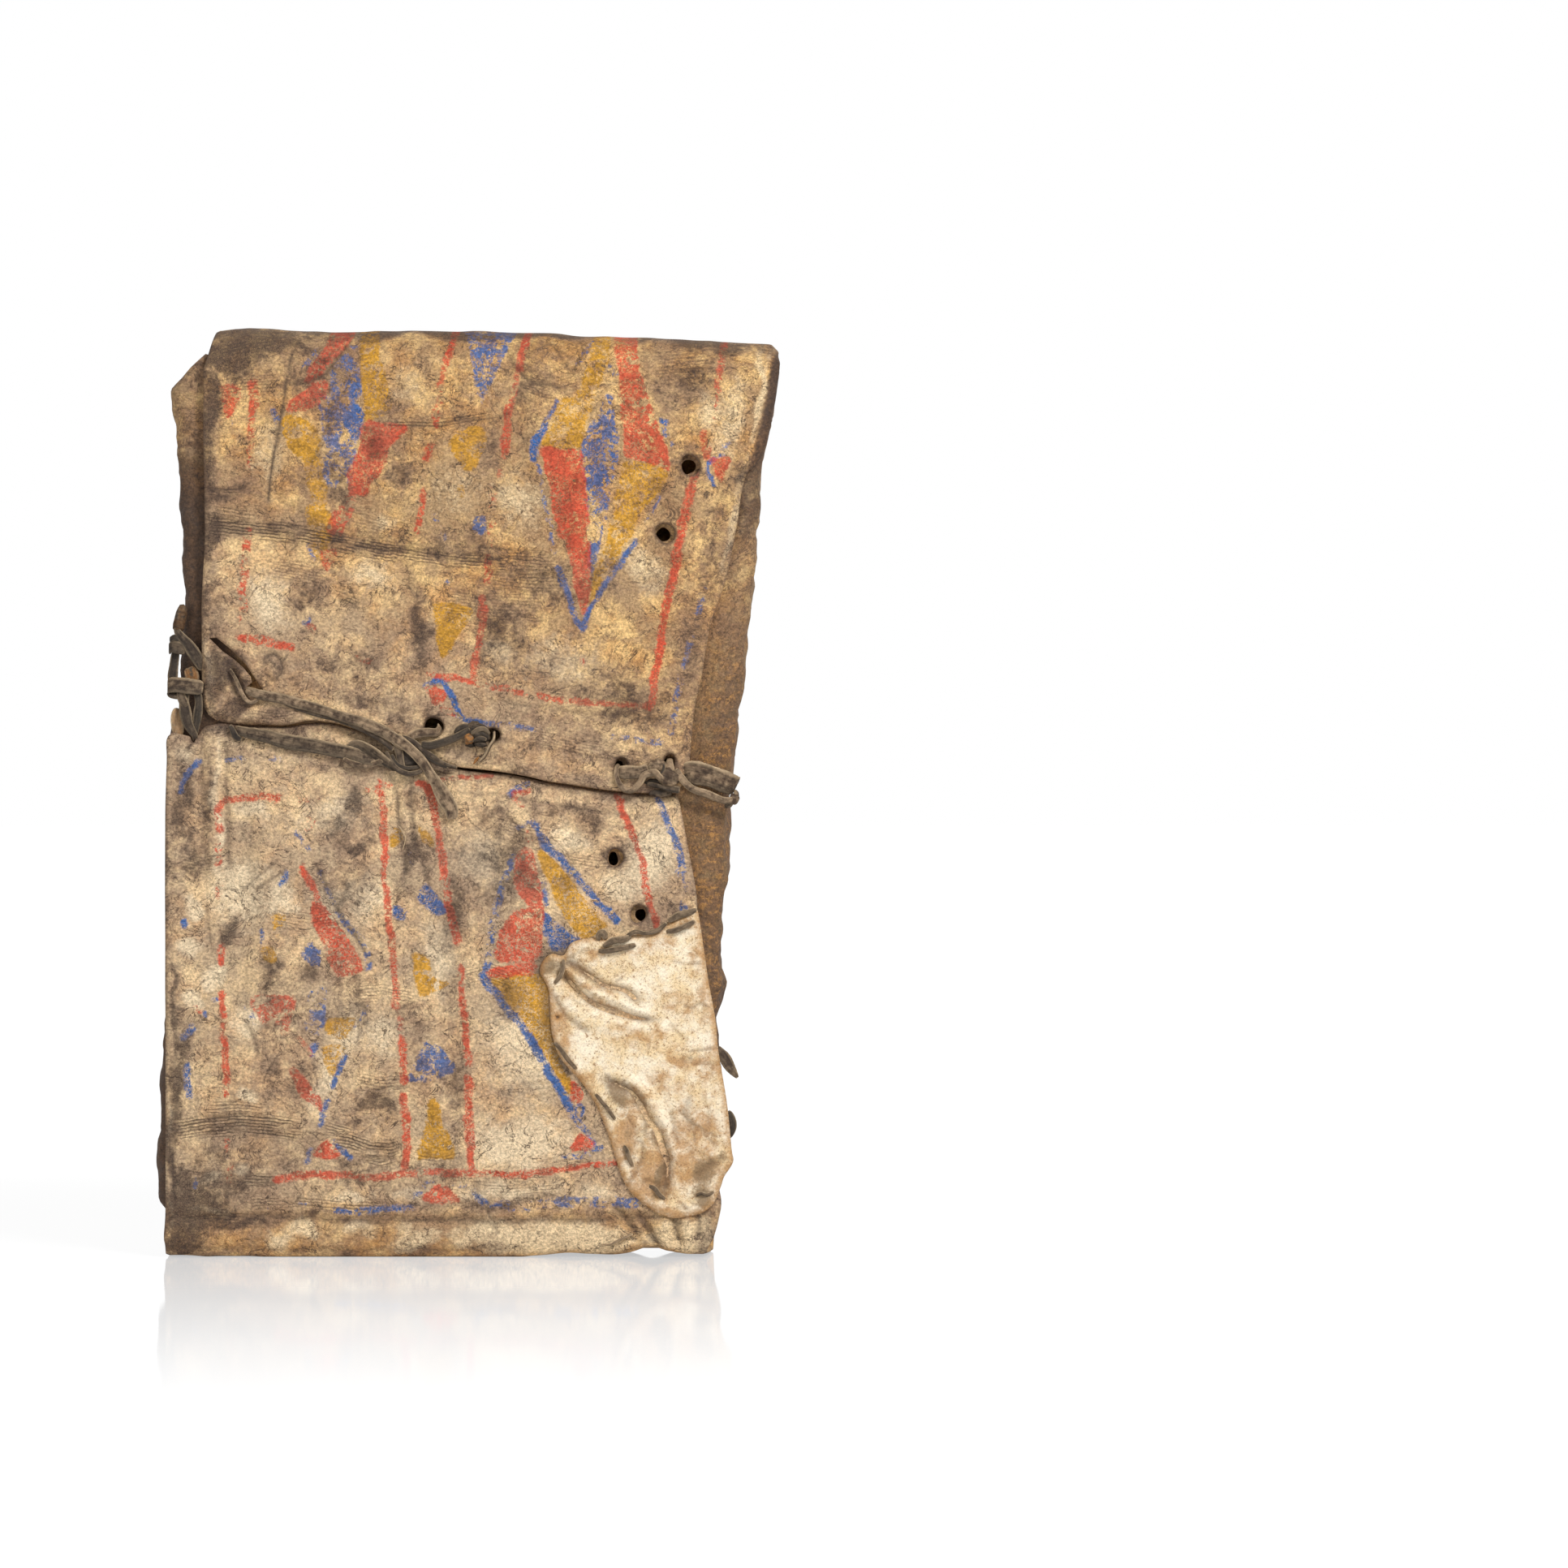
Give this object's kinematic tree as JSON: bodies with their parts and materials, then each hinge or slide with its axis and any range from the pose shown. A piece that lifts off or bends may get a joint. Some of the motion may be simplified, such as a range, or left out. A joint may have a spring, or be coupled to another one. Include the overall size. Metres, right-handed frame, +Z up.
{
  "type": "parfleche case",
  "caption": "Folded painted rawhide envelope case with two hinged end flaps, side flaps, leather tie thongs and a laced-on patch.",
  "frame": {"origin": "under the middle of the case, on the surface it stands on", "axes": "+Z up along the case's height, +X to the right seen from the painted front, front towards -Y"},
  "size_m": [0.4172, 0.0739, 0.628],
  "materials": {
    "rawhide": "old cream and tan rawhide, painted, worn and stained",
    "patch_hide": "pale cream rawhide, creased",
    "thong": "dark grey-brown thong leather, dry and matt"
  },
  "bodies": {
    "root": {"back_panel": "rawhide", "top_fold": "rawhide", "bottom_fold": "rawhide", "left_side_flap": "rawhide", "right_side_flap": "rawhide", "edge_loop_1": "thong", "edge_loop_2": "thong", "edge_strand": "thong"},
    "upper_flap": {"upper_end_flap": "rawhide", "upper_tie_thong": "thong", "toggle_knot": "thong", "toggle_thong": "thong", "toggle_tail": "thong", "right_knot": "thong", "right_band": "thong", "right_cord": "thong", "right_loop_band": "thong", "right_loop_cord": "thong"},
    "lower_flap": {"lower_end_flap": "rawhide", "lower_tie_thong": "thong", "tie_knot": "thong", "tie_tail": "thong", "patch": "patch_hide", "patch_stitch_1": "thong", "patch_stitch_2": "thong", "patch_stitch_3": "thong", "patch_stitch_4": "thong", "patch_stitch_5": "thong", "patch_stitch_6": "thong", "patch_stitch_7": "thong", "patch_stitch_8": "thong", "patch_stitch_9": "thong", "edge_tab_1": "thong", "edge_tab_2": "thong"}
  },
  "joints": [
    {"name": "upper_flap_crease", "type": "hinge", "parent": "root", "child": "upper_flap", "pos_m": [0, -0.0275, 0.60185], "axis": [-1, 0, 0], "range_deg": [0, 180]},
    {"name": "lower_flap_crease", "type": "hinge", "parent": "root", "child": "lower_flap", "pos_m": [0, -0.0275, 0.02615], "axis": [1, 0, 0], "range_deg": [0, 90]}
  ]
}
